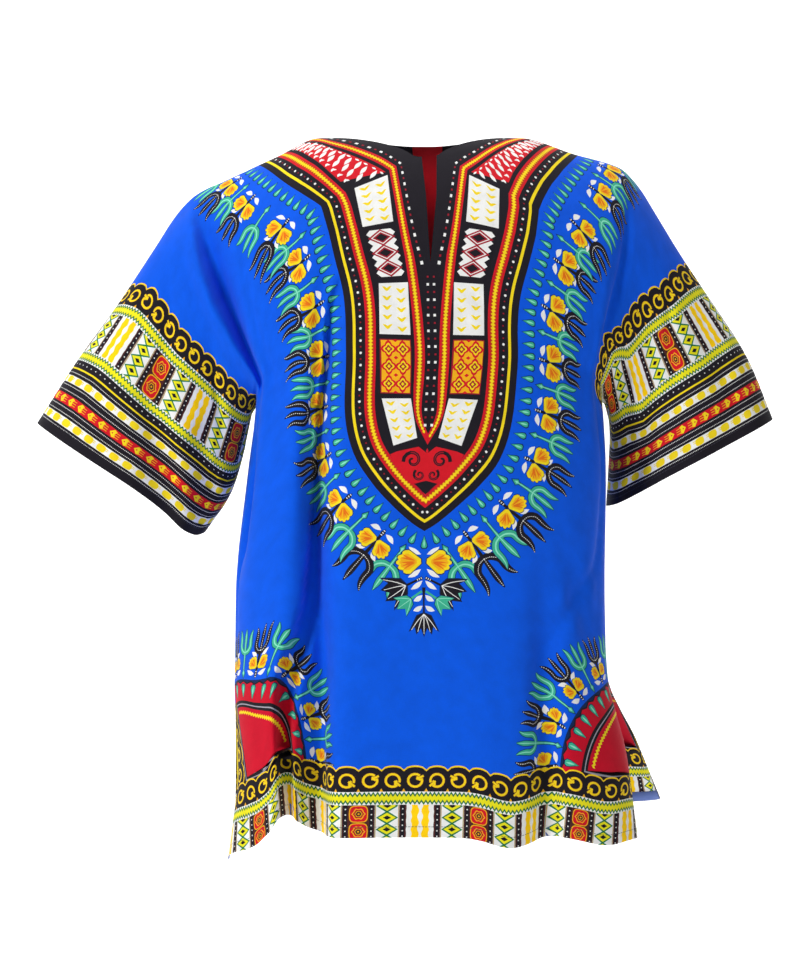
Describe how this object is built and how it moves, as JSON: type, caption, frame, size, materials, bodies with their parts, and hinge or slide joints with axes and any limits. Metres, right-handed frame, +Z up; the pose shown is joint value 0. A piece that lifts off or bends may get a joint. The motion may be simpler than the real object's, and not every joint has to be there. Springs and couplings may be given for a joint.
{
  "type": "dashiki shirt",
  "caption": "Loose pullover shirt with a boat neck, V slit, elbow-length kimono sleeves and open side slits, filled out as when worn.",
  "frame": {"origin": "between the shoulders at the neck opening, where the wearer's shoulders carry the shirt", "axes": "+Z up, front faces -Y, +X towards the wearer's left sleeve"},
  "size_m": [0.7944, 0.2564, 0.7684],
  "materials": {
    "printed_cotton": "plain woven cotton, wax-print style, matt"
  },
  "bodies": {
    "root": {"front": "printed_cotton", "back": "printed_cotton", "sleeve_left": "printed_cotton", "sleeve_right": "printed_cotton"}
  },
  "joints": []
}
